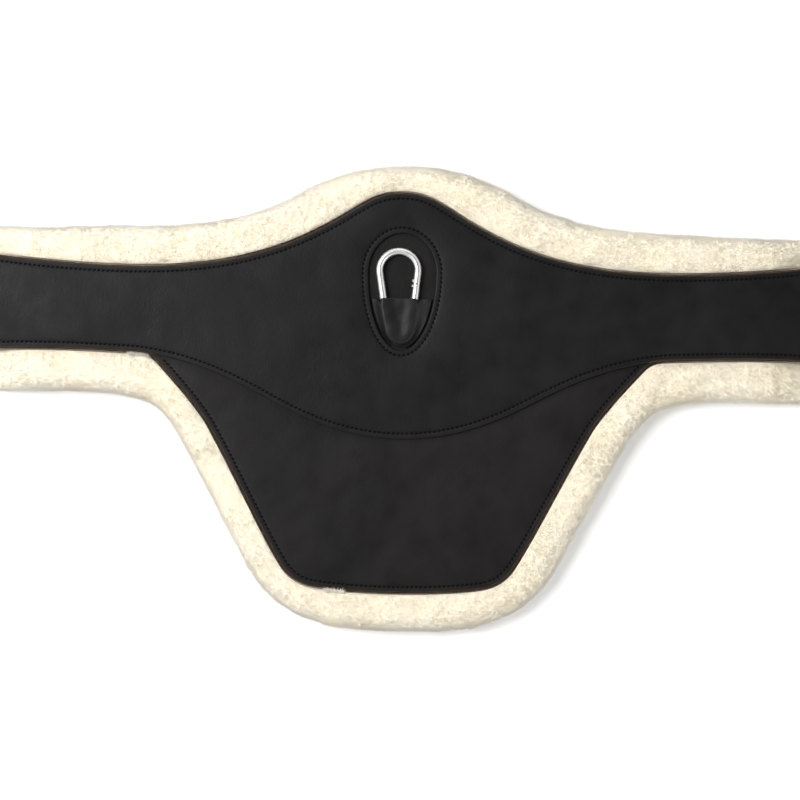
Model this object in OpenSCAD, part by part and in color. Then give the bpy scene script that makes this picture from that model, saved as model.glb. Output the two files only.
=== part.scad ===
// Stud-guard saddle girth: a leather body with a belly guard, a pull-off fleece liner, a snap hook
// in a moulded sleeve at the centre, and two roller buckles on elastic straps at each end.
// It lies on its fleece with the outer leather up. +X runs along the girth, +Y towards the
// horse's front legs and +Z away from the horse. All sizes are in millimetres.

/* [Leather body] */
// Half the length of the leather body
body_half = 337; // [330:1:360]
// Front peak of the leather
peak_y = 160.5; // [157:0.5:164]
// Front edge of the arms where they are narrowest
arm_front = 100; // [98:0.5:102]
// Rear edge of the arms
arm_rear = 33.2; // [31:0.2:35]
// Lowest point of the outer panel's scalloped rear edge
scallop_y = -31.5; // [-36:0.5:-28]
// Rear edge of the belly guard
guard_y = -151.5; // [-156:0.5:-148]

/* [Layers] */
// Wool under the body, pressed flat by its weight
wool_t = 14; // [10:0.5:16]
// Height of the wool rim round the body
rim_h = 24; // [22:0.5:26]
// Sheepskin hide that carries the wool
hide_t = 1.5; // [1:0.1:2]
// Each half of the hook-and-loop tape
tape_t = 1.0; // [0.8:0.1:1.2]
// Lining leather
lining_t = 1.5; // [1.2:0.1:2]
// Foam padding
foam_t = 4; // [3.8:0.1:6]
// Base panel, which is also the belly guard's outer leather
base_t = 2.5; // [2:0.1:3]
// Outer panel
panel_t = 3; // [2.5:0.1:3.5]

/* [Fleece] */
// Half the depth of the fleece, front to rear
fleece_half = 184; // [182:0.5:190]
// Fleece past the ends of the leather
fleece_over = 20; // [14:1:22]
// How far the liner lies off centre, along the girth
liner_shift = 3; // [-4:0.5:4]

/* [Window] */
// Half the width of the egg-shaped window
window_a = 26.5; // [26:0.5:30]
// Window above its widest line
window_front = 31.2; // [30:0.2:34]
// Window below its widest line
window_rear = 60; // [60:0.5:64]
// Height of the window's widest line
window_y = 98; // [96:0.5:98]

/* [Snap hook] */
// Radius of the hook's wire
wire_r = 2.75; // [2.5:0.05:2.75]
// Centreline radius of the big end
big_r = 15; // [14:0.1:15.5]
// Centreline radius of the small end
small_r = 9; // [8.8:0.1:9.2]
// Distance between the centres of the two ends
hook_l = 45.8; // [45:0.1:47]
// How far the hook leans towards the left
hook_lean = 1.6; // [0:0.1:2]

/* [Buckles] */
// Clear width of the buckle, for a 25 mm strap
buckle_w = 26; // [26:0.5:27]
// Bar to roller
buckle_l = 24; // [23:0.5:26]
// Roller radius
roller_r = 3; // [2.8:0.1:3.2]
// Length of elastic from the body's end to the buckle's bar
elastic_l = 68; // [64:1:76]
// Width of each elastic strap
elastic_w = 28; // [26:1:29]
// Thickness of each elastic strap
elastic_t = 2.2; // [1.8:0.1:2.2]

/* [Hidden] */
$fn = 48;
clear = 0.1;     // clearance between pieces that only lie against each other
eps = 0.5;       // how far a cutter runs past what it cuts

// Layer heights, from the ground up
hide_z = wool_t;
loop_z = hide_z + hide_t;
hook_tape_z = loop_z + tape_t;
lining_z = hook_tape_z + tape_t;
foam_z = lining_z + lining_t;
base_z = foam_z + foam_t;
panel_z = base_z + base_t;
top_z = panel_z + panel_t;

// ---- Outlines ----
// An outline is a chain of cubic curves from the front centre round to the rear centre, as
// knot, handle, handle, knot and so on, mirrored to the left side.
function curve_at(p, t) =
    pow(1 - t, 3) * p[0] + 3 * pow(1 - t, 2) * t * p[1] + 3 * (1 - t) * t * t * p[2] + t * t * t * p[3];
function half_outline(knots, steps) = [
    for (i = [0 : len(steps) - 1], j = [0 : steps[i] - 1])
        curve_at([for (k = [0 : 3]) knots[3 * i + k]], j / steps[i])
];
function outline(knots, steps) =
    let (half = half_outline(knots, steps))
    concat(half, [knots[len(knots) - 1]], [for (i = [len(half) - 1 : -1 : 1]) [-half[i].x, half[i].y]]);
// The outline moved outwards by d along its normals
function grown(pts, d) = [
    for (i = [0 : len(pts) - 1])
        let (n = len(pts), along = pts[(i + 1) % n] - pts[(i + n - 1) % n])
        pts[i] + d * [-along.y, along.x] / norm(along)
];
function take(list, first, last) = [for (i = [first : last]) list[i]];

arm_knots = [
    [0, peak_y], [18, peak_y], [26, peak_y - 6],
    [40, peak_y - 14.5], [85, arm_front + 17.5], [130, arm_front],
    [210, arm_front], [250, arm_front], [body_half - 37, arm_front + 4],
    [body_half - 8, arm_front + 8.8], [body_half - 3, arm_front + 9.6], [body_half, arm_front + 6.5],
    [body_half, arm_front + 1.5], [body_half, arm_front - 19], [body_half, arm_rear + 27.8],
    [body_half, arm_rear + 8.1], [body_half, arm_rear + 2.8], [body_half - 3, arm_rear + 0.2],
    [body_half - 8, arm_rear + 0.1], [body_half - 42, arm_rear + 3.6], [245, arm_rear + 1.8],
    [208, arm_rear]
];
guard_knots = [
    [200, arm_rear - 0.2], [195, arm_rear - 1.7],
    [190, arm_rear - 6.7], [180, arm_rear - 17.7], [160, arm_rear - 38.7],
    [150, arm_rear - 54.8], [133, guard_y + 101], [104, guard_y + 41.6],
    [92, guard_y + 23], [86, guard_y + 12], [76, guard_y + 5.7],
    [66, guard_y + 4.2], [50, guard_y + 1.5], [25, guard_y],
    [0, guard_y]
];
scallop_knots = [
    [165, arm_rear - 4.2], [132, arm_rear - 19.7],
    [105, arm_rear - 34.2], [78, arm_rear - 48.7], [45, scallop_y],
    [0, scallop_y]
];
fleece_end = body_half + fleece_over;
fleece_knots = [
    [0, fleece_half], [30, fleece_half], [52, fleece_half - 5.5],
    [80, fleece_half - 19.5], [104, arm_front + 49], [140, arm_front + 35.5],
    [200, arm_front + 34.3], [240, arm_front + 33.8], [fleece_end - 57, arm_front + 29.5],
    [fleece_end - 22, arm_front + 33], [fleece_end - 9, arm_front + 34], [fleece_end, arm_front + 26],
    [fleece_end, arm_front + 14], [fleece_end, arm_front - 16], [fleece_end, arm_rear + 20],
    [fleece_end, arm_rear - 9], [fleece_end, arm_rear - 24], [fleece_end - 9, arm_rear - 32],
    [fleece_end - 24, arm_rear - 33], [fleece_end - 57, arm_rear - 34], [250, arm_rear - 31],
    [222, arm_rear - 35], [212, arm_rear - 37], [205, arm_rear - 38],
    [197, arm_rear - 43], [187, arm_rear - 50], [179, arm_rear - 63],
    [170, arm_rear - 79], [151, guard_y + 72.5], [124, guard_y + 16.5],
    [112, guard_y + 2.5], [98, 19 - fleece_half], [78, 8.5 - fleece_half],
    [60, 4.5 - fleece_half], [45, 1 - fleece_half], [25, -fleece_half],
    [0, -fleece_half]
];
ring_steps = [8, 12, 8, 4, 2, 4, 8, 5, 7, 10, 6, 6];
// Where an arm starts, rounds its tip and ends, as counts of steps from the front centre
arm_from = 20;
tip_from = 28;
tip_to = 38;
arm_to = 46;
rear_at = 80;
panel_steps = [8, 12, 8, 4, 2, 4, 8, 14, 14];
leather_line = outline(concat(arm_knots, guard_knots), ring_steps);
panel_line = outline(concat(arm_knots, scallop_knots), panel_steps);
fleece_line = outline(fleece_knots, ring_steps);

module slab(line, z, t) translate([0, 0, z]) linear_extrude(t) polygon(line);
module block(x0, x1, y0, y1, z0, z1) translate([x0, y0, z0]) cube([x1 - x0, y1 - y0, z1 - z0]);

// ---- Window in the outer panel ----
// An egg: half an ellipse in front of its widest line and a longer one behind it
function egg(inset) = [
    for (i = [0 : 95])
        let (a = i * 360 / 96, b = (sin(a) > 0 ? window_front : window_rear) - inset)
        [(window_a - inset) * cos(a), window_y + b * sin(a)]
];
window_end = window_y - window_rear;

// ---- Leather body ----
strap_y = (arm_front + arm_rear + 8.9) / 2;   // middle of an arm at its end
web_y = strap_y - 3;
web_w = 48;
web_t = 1.5;
web_half = body_half - 11;
turn_t = 2.4;          // width of the lining's turned-up edge
turn_out = 0.8;        // how far it shows past the base panel
buckle_gap = 37;       // centre to centre of the two buckles at an end
elastic_in = 47;       // elastic sewn in between base panel and lining
exit_in = 4;           // the elastic starts to bend this far inside the end
elastic_z = foam_z + 0.1 + elastic_t / 2;
strap_sides = [strap_y + buckle_gap / 2, strap_y - buckle_gap / 2];

module elastic_pockets(grow) for (side = [-1, 1], y = strap_sides)
    block(
        side > 0 ? body_half - elastic_in - exit_in - grow : -body_half - turn_out - eps,
        side > 0 ? body_half + turn_out + eps : -body_half + elastic_in + exit_in + grow,
        y - elastic_w / 2 - grow, y + elastic_w / 2 + grow, foam_z, foam_z + elastic_t + 2 * clear
    );

anchor_w = 11;
anchor_a = 28;         // how far the strap's loop runs round the small end, to each side
anchor_t = 1.1;
anchor_tail = 20;      // length of the anchor strap sewn in under the outer panel

module outer_panel() color([0.10, 0.10, 0.10]) difference() {
    slab(panel_line, panel_z, panel_t);
    slab(egg(0), panel_z - eps, panel_t + 2 * eps);
    block(
        hook_x - anchor_w / 2 - 2 * clear, hook_x + anchor_w / 2 + 2 * clear,
        window_end - anchor_tail - clear, window_end + 2, panel_z - eps, panel_z + anchor_t + 2 * clear
    );
}

module base_panel() color([0.11, 0.10, 0.10]) slab(leather_line, base_z, base_t);

module girth_webbing() color([0.75, 0.75, 0.72])
    block(-web_half, web_half, web_y - web_w / 2, web_y + web_w / 2, base_z - web_t, base_z);

module foam_core() color([0.35, 0.35, 0.37]) difference() {
    slab(grown(leather_line, turn_out - turn_t - clear), foam_z, foam_t);
    block(
        -web_half - clear, web_half + clear, web_y - web_w / 2 - clear, web_y + web_w / 2 + clear,
        base_z - web_t - clear, base_z + eps
    );
    elastic_pockets(2 * clear);
}

module lining() color([0.16, 0.12, 0.10]) difference() {
    slab(grown(leather_line, turn_out), lining_z, lining_t + foam_t);
    slab(grown(leather_line, turn_out - turn_t), foam_z, foam_t + eps);
    elastic_pockets(2 * clear);
    // skived thin where the elastics bend down over the edge
    for (side = [-1, 1], y = strap_sides) block(
        side > 0 ? body_half - exit_in - 0.5 : -body_half - 2, side > 0 ? body_half + 2 : exit_in + 0.5 - body_half,
        y - elastic_w / 2 - 2 * clear, y + elastic_w / 2 + 2 * clear, lining_z + 0.5, foam_z + eps
    );
}

// ---- Hook-and-loop tape, hook half on the lining and loop half on the hide ----
arm_tape = [115, 300, strap_y - 18, strap_y + 12];
front_tape = [-28, 28, peak_y - 49, peak_y - 24];
guard_tape = [-55, 55, guard_y + 27, guard_y + 52];
module tape(span, z) block(span[0], span[1], span[2], span[3], z, z + tape_t);
module arm_tapes(side, z) if (side > 0) tape(arm_tape, z); else mirror([1, 0, 0]) tape(arm_tape, z);

module hook_tape_left_arm() color([0.14, 0.14, 0.14]) arm_tapes(-1, hook_tape_z);
module hook_tape_right_arm() color([0.14, 0.14, 0.14]) arm_tapes(1, hook_tape_z);
module hook_tape_front() color([0.14, 0.14, 0.14]) tape(front_tape, hook_tape_z);
module hook_tape_guard() color([0.14, 0.14, 0.14]) tape(guard_tape, hook_tape_z);
module loop_tape_left_arm() color([0.85, 0.82, 0.74]) arm_tapes(-1, loop_z);
module loop_tape_right_arm() color([0.85, 0.82, 0.74]) arm_tapes(1, loop_z);
module loop_tape_front() color([0.85, 0.82, 0.74]) tape(front_tape, loop_z);
module loop_tape_guard() color([0.85, 0.82, 0.74]) tape(guard_tape, loop_z);

// ---- Fleece liner ----
pocket_gap = 1.5;      // between the leather's edge and the wool rim
rim_low = 0.59;        // the rim's height at the ends, where the elastic presses it down
// Outer side of the wool, from the ground up: how far inside the outline, and how high
wool_profile = [[10, 0], [3.5, 3], [0.6, 7.5], [0, 12], [1.8, 17.5], [6.5, 22], [12, 24]];

function low_share(x) = min(1, max(0, (abs(x) - (body_half - 47)) / 30));
function rim_scale(x) = 1 - (1 - rim_low) * low_share(x);
function wool_ring(inset, h) = [
    for (p = grown(fleece_line, -inset)) [p.x + liner_shift, p.y, h * rim_h / 24 * rim_scale(p.x)]
];
function pocket_ring(h, scaled) = [
    for (p = grown(leather_line, pocket_gap))
        [p.x, p.y, scaled ? max(wool_t + 0.1, h * rim_scale(p.x)) : h]
];

// The area inside a ring, cut into convex faces: strips from side to side of the middle, strips
// from front to rear of each arm, and the two arm tips
function arm_faces() = concat(
    [for (k = [0 : tip_from - arm_from - 1]) [arm_from + k, arm_from + k + 1, arm_to - k - 1, arm_to - k]],
    [[for (i = [tip_from : tip_to]) i]]
);
function mirrored(faces, n) = [for (f = faces) [for (k = [len(f) - 1 : -1 : 0]) n - f[k]]];
function ring_faces(n) = concat(
    [[0, 1, n - 1]],
    [for (i = [1 : arm_from - 1]) [i, i + 1, n - i - 1, n - i]],
    [[arm_from, arm_to, n - arm_to, n - arm_from]],
    [for (i = [arm_to : rear_at - 2]) [i, i + 1, n - i - 1, n - i]],
    [[rear_at - 1, rear_at, rear_at + 1]],
    arm_faces(),
    mirrored(arm_faces(), n)
);
// A closed skin through rings of equal length. cap is the list of faces that fill a ring
module loft(rings, cap) {
    n = len(rings[0]);
    last = (len(rings) - 1) * n;
    polyhedron(
        points = [for (r = rings, p = r) p],
        faces = concat(
            [for (f = cap) [for (k = [len(f) - 1 : -1 : 0]) f[k]]],
            [for (k = [0 : len(rings) - 2], i = [0 : n - 1])
                [k * n + i, k * n + (i + 1) % n, (k + 1) * n + (i + 1) % n]],
            [for (k = [0 : len(rings) - 2], i = [0 : n - 1])
                [k * n + i, (k + 1) * n + (i + 1) % n, (k + 1) * n + i]],
            [for (f = cap) [for (i = f) last + i]]
        )
    );
}

module wool_pile() color([0.96, 0.93, 0.83]) loft(
    concat(
        [for (p = wool_profile) wool_ring(p[0], p[1])],
        [pocket_ring(rim_h - 0.8, true), pocket_ring(wool_t, false)]
    ),
    ring_faces(len(leather_line))
);

module sheepskin_hide() color([0.88, 0.82, 0.70])
    slab(grown(leather_line, pocket_gap - 0.2), hide_z, hide_t);

// ---- Snap hook, in a frame with its small end's centre at the origin and its big end along +Y ----
small_y = window_end + 16.2;
back_t = 1.2;
flange_t = 1.5;
cover_t = 1.5;
back_z = panel_z + clear;
wire_z = back_z + back_t + 3.3;
hook_x = -1.4;
leg_tilt = asin((big_r - small_r) / hook_l);
leg_l = sqrt(pow(hook_l, 2) - pow(big_r - small_r, 2));
nose_s = 6.3;          // from the big end's arc down the right leg to the gate's tip
pin_s = 38;            // to the gate's rivet
latch_s = nose_s + 2.4;
rivet_r = 1.25;
latch_r = 0.9;
blade_t = 2;           // thickness of the nose and of the tang
rod_r = wire_r + 0.04; // the straight lengths, a hair over the bends they run into
lap = 0.3;

module hook_frame() translate([hook_x, small_y, 0]) rotate([0, 0, hook_lean]) children();
// The right leg's frame: origin where the big arc ends, -Y down the leg
module leg_frame() hook_frame()
    translate([big_r * cos(leg_tilt), hook_l - big_r * sin(leg_tilt), wire_z]) rotate([0, 0, -leg_tilt]) children();
module bend(r, from, to) rotate([0, 0, from]) rotate_extrude(angle = to - from) translate([r, 0]) circle(wire_r);
module down_rod(s0, s1, r) translate([0, -s0, 0]) rotate([90, 0, 0]) cylinder(r = r, h = s1 - s0);

module snap_hook() color([0.80, 0.80, 0.80]) {
    hook_frame() {
        translate([0, hook_l, wire_z]) bend(big_r, -leg_tilt, 180 + leg_tilt);
        translate([0, 0, wire_z]) bend(small_r, 180 + leg_tilt, 360 - leg_tilt);
        translate([-big_r * cos(leg_tilt), hook_l - big_r * sin(leg_tilt), wire_z])
            rotate([0, 0, leg_tilt]) down_rod(-lap, leg_l + lap, rod_r);
    }
    leg_frame() {
        down_rod(-lap, nose_s, rod_r);
        // claw that catches the gate's latch pin
        difference() {
            block(-3.5, 2.2, -nose_s - 5.4, -nose_s + 0.5, -blade_t / 2, blade_t / 2);
            block(-4, latch_r + 0.3, -latch_s - latch_r - 0.25, -latch_s + latch_r + 0.25, -blade_t, blade_t);
        }
        // lower end of the leg, flattened into a tang for the rivet
        down_rod(pin_s + 3.2, leg_l + lap, rod_r);
        difference() {
            union() {
                block(-2.5, 2.5, -pin_s - 3.7, -pin_s, -blade_t / 2, blade_t / 2);
                translate([0, -pin_s, -blade_t / 2]) cylinder(r = 2.5, h = blade_t);
            }
            translate([0, -pin_s, -blade_t]) cylinder(r = rivet_r, h = 2 * blade_t);
        }
    }
}

fork_s = pin_s - 3.0;  // bottom of the gate's fork
spring_l = 12;

module hook_gate() color([0.78, 0.78, 0.78]) leg_frame() difference() {
    union() {
        down_rod(nose_s + 0.25, pin_s, wire_r);
        intersection() {
            down_rod(pin_s - 1, pin_s + 3, wire_r);
            translate([0, -pin_s, -wire_r]) cylinder(r = wire_r, h = 2 * wire_r);
        }
    }
    block(-4, 4, -nose_s - 6.2, -nose_s + 1, -blade_t / 2 - 0.2, blade_t / 2 + 0.2);
    block(-4, 4, -pin_s - 4, -fork_s, -blade_t / 2 - 0.2, blade_t / 2 + 0.2);
    down_rod(fork_s - spring_l - 4, fork_s + 0.6, 1.6);
    translate([0, -pin_s, -4]) cylinder(r = rivet_r + 0.05, h = 8);
    translate([0, -latch_s, -4]) cylinder(r = latch_r, h = 8);
}

module gate_rivet() color([0.72, 0.72, 0.72]) leg_frame() translate([0, -pin_s, 0]) {
    translate([0, 0, -wire_r - 0.05]) cylinder(r = rivet_r, h = 2 * wire_r + 0.1);
    for (z = [-wire_r - 0.5, wire_r + 0.05]) translate([0, 0, z]) cylinder(r = 1.9, h = 0.45);
}

module gate_latch_pin() color([0.72, 0.72, 0.72]) leg_frame()
    translate([0, -latch_s, -2.4]) cylinder(r = latch_r, h = 4.8);

spring_turns = 8;
spring_wire = 0.28;
spring_r = 1.15;
spring_sides = 6;
spring_rings = 10;     // per turn

function spring_ring(k) =
    let (
        total = spring_turns * spring_rings,
        a = k * 360 / spring_rings,
        y = -(fork_s - 2) + (spring_l - 0.8) * k / total + spring_wire,
        out = [cos(a), 0, sin(a)]
    )
    [for (s = [0 : spring_sides - 1])
        let (b = s * 360 / spring_sides)
        (spring_r + spring_wire * cos(b)) * out + [0, y + spring_wire * sin(b), 0]];

module gate_spring() color([0.6, 0.6, 0.62]) leg_frame()
    loft(
        [for (k = [0 : spring_turns * spring_rings]) spring_ring(k)],
        [[for (s = [0 : spring_sides - 1]) s]]
    );

module gate_plunger() color([0.6, 0.6, 0.62]) leg_frame() down_rod(fork_s - 1.9, fork_s + 0.4, 1.5);

// ---- Moulded sleeve over the hook's small end ----
sleeve_gap = 1.3;      // between the sleeve and the window's edge
sleeve_top = window_y - 19.9;
cavity = wire_r + 0.4;
loop_in = wire_r + 0.1;
loop_out = loop_in + anchor_t;
cover_grow = cavity + 2.05;
cover_z = wire_z + loop_out + 0.15;

// Outline of the hook, grown by r from its centreline
module pear(r) hook_frame() {
    circle(small_r + r);
    translate([0, hook_l]) circle(big_r + r);
    polygon([
        [-(small_r + r) * cos(leg_tilt), -(small_r + r) * sin(leg_tilt)],
        [-(big_r + r) * cos(leg_tilt), hook_l - (big_r + r) * sin(leg_tilt)],
        [(big_r + r) * cos(leg_tilt), hook_l - (big_r + r) * sin(leg_tilt)],
        [(small_r + r) * cos(leg_tilt), -(small_r + r) * sin(leg_tilt)]
    ]);
}
module below_mouth(z0, z1) block(-60, 60, window_end - 10, sleeve_top, z0, z1);
module anchor_notch(y0, z0, z1) block(
    hook_x - anchor_w / 2 - 1.2, hook_x + anchor_w / 2 + 1.4,
    y0, small_y - small_r + loop_out + 1.2, z0, z1
);

module sleeve_back() color([0.10, 0.10, 0.10]) difference() {
    intersection() {
        slab(egg(sleeve_gap), back_z, back_t);
        below_mouth(back_z - eps, back_z + back_t + eps);
    }
    anchor_notch(window_end, back_z - eps, back_z + back_t + eps);
}

module sleeve_front() color([0.11, 0.11, 0.11]) difference() {
    intersection() {
        union() {
            slab(egg(sleeve_gap), back_z + back_t, flange_t);
            translate([0, 0, back_z + back_t]) linear_extrude(cover_z + cover_t - back_z - back_t) pear(cover_grow);
        }
        slab(egg(sleeve_gap), back_z, cover_z + cover_t);
        below_mouth(back_z, cover_z + cover_t + eps);
    }
    translate([0, 0, back_z]) linear_extrude(cover_z - back_z) pear(cavity);
    anchor_notch(small_y - small_r - loop_out - 0.2, back_z, cover_z);
    // the anchor strap's way in under the flange
    anchor_notch(window_end, back_z, back_z + back_t + 0.9);
}

// Leather strap that is sewn in under the outer panel, and wraps the hook's small end
module wrap(r, a) hook_frame() translate([0, 0, wire_z]) rotate([0, 0, 270 - a])
    rotate_extrude(angle = 2 * a) translate([small_r, 0]) circle(r);
module anchor_strap() color([0.09, 0.09, 0.09]) {
    wire_y = small_y - small_r;
    tail_z = panel_z + clear;
    wrap_z = wire_z - loop_out;
    difference() {
        union() {
            wrap(loop_out, anchor_a);
            translate([hook_x - anchor_w / 2, 0, 0]) rotate([90, 0, 90]) linear_extrude(anchor_w) polygon([
                [window_end - anchor_tail, tail_z],
                [window_end, tail_z],
                [wire_y, wrap_z + 0.1],
                [wire_y, wrap_z + anchor_t],
                [window_end, tail_z + anchor_t],
                [window_end - anchor_tail, tail_z + anchor_t]
            ]);
        }
        wrap(loop_in, anchor_a + 10);
    }
}

// ---- Ends: elastic, chape and roller buckle ----
bar_r = 2.0;
arm_r = 2.1;
outer_bar_r = 1.7;
corner_r = 2.6;
run_gap = 0.08;        // radial running clearance of the pieces that turn
chape_w = buckle_w - 1.6;
chape_back = 34;       // length of the chape behind the bar
tongue_slot = 12.5;    // length of its slot behind the bar
elastic_stop = 14;     // the elastic ends this far behind the bar
ply_t = 2;
droop = asin((elastic_z - roller_r - 0.3) / (elastic_l + buckle_l));

// An end's frame: origin where the elastic leaves the body, +X out along the elastic
module right_end(y) translate([body_half - exit_in, y, elastic_z]) rotate([0, droop, 0]) children();
module at_end(side, y)
    if (side > 0) right_end(y) children();
    else mirror([1, 0, 0]) right_end(y) children();
module across(r, w, x, z) translate([x, 0, z]) rotate([90, 0, 0]) cylinder(r = r, h = w, center = true);

module elastic(side, y) color([0.08, 0.08, 0.08]) {
    x0 = body_half - exit_in;
    end = elastic_l - elastic_stop;
    shift = elastic_t / 2 * tan(droop / 2);
    rise = elastic_t / 2 * [sin(droop), cos(droop)];
    tip = [x0, elastic_z] + end * [cos(droop), -sin(droop)];
    mirror([side > 0 ? 0 : 1, 0, 0]) translate([0, y + elastic_w / 2, 0]) rotate([90, 0, 0])
        linear_extrude(elastic_w) polygon([
            [x0 - elastic_in, elastic_z - elastic_t / 2],
            [x0 - shift, elastic_z - elastic_t / 2],
            tip - rise,
            tip + rise,
            [x0 + shift, elastic_z + elastic_t / 2],
            [x0 - elastic_in, elastic_z + elastic_t / 2]
        ]);
}

module chape(side, y) color([0.10, 0.10, 0.10]) at_end(side, y) {
    half = elastic_t / 2 + clear;
    difference() {
        union() {
            across(bar_r + run_gap + ply_t, chape_w, elastic_l, 0);
            block(elastic_l - chape_back, elastic_l, -chape_w / 2, chape_w / 2, -half - ply_t, half + ply_t);
        }
        across(bar_r + run_gap, chape_w + 1, elastic_l, 0);
        block(
            elastic_l - chape_back - eps, elastic_l - elastic_stop + clear,
            -chape_w / 2 - eps, chape_w / 2 + eps, -half, half
        );
        // slot for the tongue
        block(elastic_l - tongue_slot, elastic_l + 8, -3.1, 3.1, -8, 8);
    }
}

module buckle_frame(side, y) color([0.78, 0.78, 0.78]) at_end(side, y) translate([elastic_l, 0, 0]) {
    arm_y = buckle_w / 2 + arm_r;
    turn_y = arm_y - corner_r;
    across(bar_r, 2 * turn_y, 0, 0);
    across(outer_bar_r, 2 * turn_y, buckle_l, 0);
    for (s = [-1, 1]) {
        translate([corner_r, s * arm_y, 0]) rotate([0, 90, 0]) cylinder(r = arm_r, h = buckle_l - 2 * corner_r);
        translate([corner_r, s * turn_y, 0]) rotate([0, 0, s > 0 ? 90 : 180])
            rotate_extrude(angle = 90) translate([corner_r, 0]) circle(arm_r);
        translate([buckle_l - corner_r, s * turn_y, 0]) rotate([0, 0, s > 0 ? 0 : 270])
            rotate_extrude(angle = 90) translate([corner_r, 0]) circle(arm_r);
    }
}

module buckle_roller(side, y) color([0.82, 0.82, 0.82]) at_end(side, y) difference() {
    across(roller_r, chape_w, elastic_l + buckle_l, 0);
    across(outer_bar_r + run_gap, chape_w + 1, elastic_l + buckle_l, 0);
}

tongue_r = 1.5;
tongue_tip_r = 0.9;
tongue_root = [0.5, 0, 2.3];
tongue_end = [28.4, 0, 5.2];
// A round rod from a to b, with radius r0 at a and r1 at b
module rod_between(a, b, r0, r1) {
    d = b - a;
    translate(a) rotate([0, atan2(d.x, d.z), 0]) cylinder(r1 = r0, r2 = r1, h = norm(d));
}
module buckle_tongue(side, y) color([0.80, 0.80, 0.80]) at_end(side, y) translate([elastic_l, 0, 0]) difference() {
    along = (tongue_end - tongue_root) / norm(tongue_end - tongue_root);
    union() {
        across(3.9, 5, 0, 0);
        rod_between(tongue_root, tongue_end, tongue_r, tongue_r);
        rod_between(tongue_end - lap * along, tongue_end + 1.3 * along, tongue_r - 0.04, tongue_tip_r);
    }
    across(bar_r + run_gap, 8, 0, 0);
}

// ---- Assembly ----
module end_piece(kind, side, y) {
    if (kind == "elastic") elastic(side, y);
    if (kind == "chape") chape(side, y);
    if (kind == "buckle_frame") buckle_frame(side, y);
    if (kind == "buckle_roller") buckle_roller(side, y);
    if (kind == "buckle_tongue") buckle_tongue(side, y);
}

outer_panel();
base_panel();
foam_core();
girth_webbing();
lining();
hook_tape_left_arm();
hook_tape_right_arm();
hook_tape_front();
hook_tape_guard();
wool_pile();
sheepskin_hide();
loop_tape_left_arm();
loop_tape_right_arm();
loop_tape_front();
loop_tape_guard();
anchor_strap();
sleeve_back();
sleeve_front();
snap_hook();
hook_gate();
gate_rivet();
gate_latch_pin();
gate_spring();
gate_plunger();
for (kind = ["elastic", "chape", "buckle_frame", "buckle_roller", "buckle_tongue"],
     side = [-1, 1], row = [0, 1]) {
    name = str(kind, side > 0 ? "_right" : "_left", row == 0 ? "_front" : "_rear");
    end_piece(kind, side, strap_sides[row]);
}
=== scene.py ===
import math
import bmesh
import bpy
import numpy as np
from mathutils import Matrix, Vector
from mathutils.geometry import delaunay_2d_cdt


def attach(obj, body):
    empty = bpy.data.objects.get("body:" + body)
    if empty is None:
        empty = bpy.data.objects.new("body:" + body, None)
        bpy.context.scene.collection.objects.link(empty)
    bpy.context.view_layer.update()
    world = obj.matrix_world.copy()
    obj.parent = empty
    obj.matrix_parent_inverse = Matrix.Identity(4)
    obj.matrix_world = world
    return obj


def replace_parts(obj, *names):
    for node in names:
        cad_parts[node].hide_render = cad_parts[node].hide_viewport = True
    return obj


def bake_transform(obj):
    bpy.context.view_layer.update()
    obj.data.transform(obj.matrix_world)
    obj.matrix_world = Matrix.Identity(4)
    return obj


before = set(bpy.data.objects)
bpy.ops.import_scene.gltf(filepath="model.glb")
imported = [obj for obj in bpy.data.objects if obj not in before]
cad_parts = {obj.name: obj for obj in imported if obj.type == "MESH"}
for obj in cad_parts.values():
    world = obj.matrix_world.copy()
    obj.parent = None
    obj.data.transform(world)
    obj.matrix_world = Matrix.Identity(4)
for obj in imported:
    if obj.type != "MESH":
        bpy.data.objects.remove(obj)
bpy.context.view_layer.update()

# Shapes are worked out in millimetres, and built in metres.
MM = 0.001
PANEL_TOP = 28.5       # outer panel, its flat top before the crown
PANEL_BOTTOM = 25.5
BASE_BOTTOM = 23.0
STITCH_INSET = 4.3     # stitch line to leather edge
STITCH_PITCH = 3.6
BAND_START = 333.0     # where an elastic leaves the girth
BAND_Z = 20.2
DROOP = (0.982983, 0.183696)
SIDES = {"left": -1, "right": 1}
STRAPS = {"front": 89.55, "rear": 52.55}


# ---- Curves and distances ----

def flat_loops(name, level):
    """The boundary loops of a CAD node's flat faces at one height, longest first."""
    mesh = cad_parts[name].data
    points = np.array([v.co[:] for v in mesh.vertices]) / MM
    points, index = np.unique(np.round(points, 3), axis=0, return_inverse=True)
    index = index.ravel()
    edges = set()
    for polygon in mesh.polygons:
        face = [int(index[i]) for i in polygon.vertices]
        if all(abs(points[i][2] - level) < 0.01 for i in face):
            edges.update(zip(face, face[1:] + face[:1]))
    follow = {a: b for a, b in edges if (b, a) not in edges}
    loops = []
    while follow:
        at, loop = min(follow), []
        while at in follow:
            loop.append(at)
            at = follow.pop(at)
        loops.append(points[loop][:, :2])
    return sorted(loops, key=lambda loop: -len_of(loop))


def len_of(loop):
    """Length round a closed loop."""
    return np.linalg.norm(np.roll(loop, -1, 0) - loop, axis=1).sum()


def resample(loop, step):
    """The closed polyline cut into equal steps."""
    closed = np.vstack([loop, loop[:1]])
    run = np.concatenate([[0], np.cumsum(np.linalg.norm(np.diff(closed, axis=0), axis=1))])
    at = np.linspace(0, run[-1], max(8, round(run[-1] / step)), endpoint=False)
    return np.column_stack([np.interp(at, run, closed[:, k]) for k in (0, 1)])


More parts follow.
